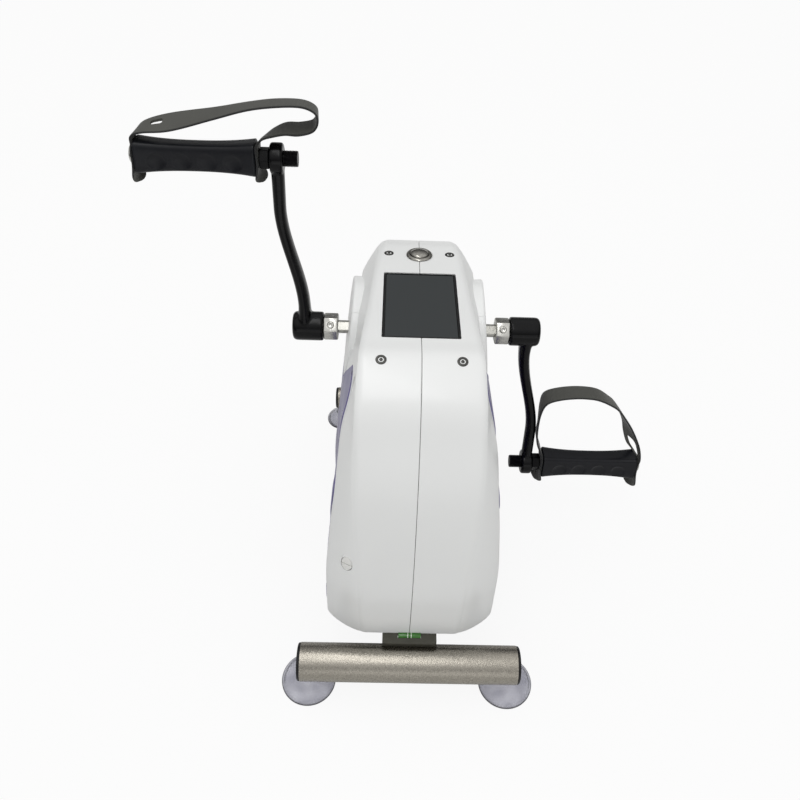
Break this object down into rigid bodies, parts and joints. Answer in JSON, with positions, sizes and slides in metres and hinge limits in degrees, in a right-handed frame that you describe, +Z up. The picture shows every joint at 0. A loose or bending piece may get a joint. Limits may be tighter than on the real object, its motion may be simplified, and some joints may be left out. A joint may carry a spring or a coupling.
{
  "type": "arm and leg rehabilitation bike",
  "caption": "Compact motorised pedal trainer for arms or legs: moulded housing, offset cranks with hand grips and straps, crossbar feet on suction cups.",
  "frame": {"origin": "on the floor, in the middle of the trainer's footprint", "axes": "+Z up, -Y towards the seated user, +X to the right in the user's view; the crank shaft runs along X"},
  "size_m": [0.5242, 0.398, 0.4769],
  "materials": {
    "blasted_stainless": "bead-blasted stainless steel tube with a soft sheen",
    "black_plastic": "black moulded plastic",
    "clear_pvc": "clear soft PVC",
    "dark_painted_steel": "dark grey powder coat on folded steel",
    "green_vial": "clear acrylic tube with green liquid",
    "white_abs": "glossy white injection-moulded ABS",
    "purple_abs": "purple moulded ABS insert",
    "zinc_steel": "bright zinc plated steel",
    "polished_button": "polished stainless push button",
    "screen_glass": "dark grey cover glass of a switched-off display",
    "black_enamel": "gloss black enamel on forged steel",
    "grip_rubber": "matt blue-black moulded rubber",
    "strap_rubber": "matt dark grey rubber band",
    "belt_rubber": "black drive belt",
    "circuit_board": "green solder mask"
  },
  "bodies": {
    "housing": {"front_crossbar": "blasted_stainless", "rear_crossbar": "blasted_stainless", "front_end_cap_left": "black_plastic", "front_suction_cup_left": "clear_pvc", "front_end_cap_right": "black_plastic", "front_suction_cup_right": "clear_pvc", "rear_end_cap_left": "black_plastic", "rear_suction_cup_left": "clear_pvc", "rear_end_cap_right": "black_plastic", "rear_suction_cup_right": "clear_pvc", "base_channel": "dark_painted_steel", "rear_saddle": "dark_painted_steel", "motor_bracket": "dark_painted_steel", "upright_left": "dark_painted_steel", "upright_right": "dark_painted_steel", "spirit_level_vial": "green_vial", "left_housing_shell": "white_abs", "right_housing_shell": "white_abs", "left_hub_cover": "white_abs", "right_hub_cover": "white_abs", "left_side_panel": "purple_abs", "right_side_panel": "purple_abs", "upper_shell_screw": "zinc_steel", "lower_shell_screw": "zinc_steel", "shaft_bearing_left": "zinc_steel", "shaft_bearing_right": "zinc_steel", "gear_motor": "zinc_steel", "display_frame": "black_plastic", "power_inlet": "black_plastic", "display_glass": "screen_glass", "button_body": "polished_button", "upper_panel_screw_left": "zinc_steel", "upper_panel_screw_right": "zinc_steel", "lower_panel_screw_left": "zinc_steel", "lower_panel_screw_right": "zinc_steel", "drive_belt": "belt_rubber", "control_board": "circuit_board"},
    "crankset": {"crank_shaft": "zinc_steel", "drive_pulley": "black_plastic", "left_collar": "zinc_steel", "left_set_screw": "zinc_steel", "left_crank_arm": "black_enamel", "left_pedal_pin": "black_enamel", "left_pin_nut": "black_enamel", "left_end_screw": "zinc_steel", "right_collar": "zinc_steel", "right_set_screw": "zinc_steel", "right_crank_arm": "black_enamel", "right_pedal_pin": "black_enamel", "right_pin_nut": "black_enamel", "right_end_screw": "zinc_steel"},
    "motor_rotor": {"motor_pulley": "zinc_steel"},
    "left_grip": {"left_hand_grip": "grip_rubber"},
    "right_grip": {"right_hand_grip": "grip_rubber"},
    "left_strap": {"left_hand_strap": "strap_rubber"},
    "right_strap": {"right_hand_strap": "strap_rubber"},
    "button_cap": {"power_button": "polished_button"}
  },
  "joints": [
    {"name": "crank_spin", "type": "hinge", "parent": "housing", "child": "crankset", "pos_m": [0, 0.095, 0.254], "axis": [1, 0, 0], "continuous": true},
    {"name": "motor_spin", "type": "hinge", "parent": "housing", "child": "motor_rotor", "pos_m": [0, -0.031, 0.131], "axis": [1, 0, 0], "continuous": true},
    {"name": "left_grip_spin", "type": "hinge", "parent": "crankset", "child": "left_grip", "pos_m": [0, 0.13843, 0.41836], "axis": [1, 0, 0], "continuous": true},
    {"name": "right_grip_spin", "type": "hinge", "parent": "crankset", "child": "right_grip", "pos_m": [0, 0.05157, 0.08964], "axis": [1, 0, 0], "continuous": true},
    {"name": "left_strap_swing", "type": "hinge", "parent": "crankset", "child": "left_strap", "pos_m": [0, 0.13843, 0.41836], "axis": [1, 0, 0], "range_deg": [-120, 120]},
    {"name": "right_strap_swing", "type": "hinge", "parent": "crankset", "child": "right_strap", "pos_m": [0, 0.05157, 0.08964], "axis": [1, 0, 0], "continuous": true},
    {"name": "power_button_press", "type": "slide", "parent": "housing", "child": "button_cap", "axis": [0, -0.2289, -0.9735], "range_m": [0, 0.0025], "stiffness_N_per_m": 900, "springref_m": -0.0008}
  ],
  "couplings": [
    {"joint": "motor_spin", "follows": "crank_spin", "ratio": 4.5833}
  ]
}
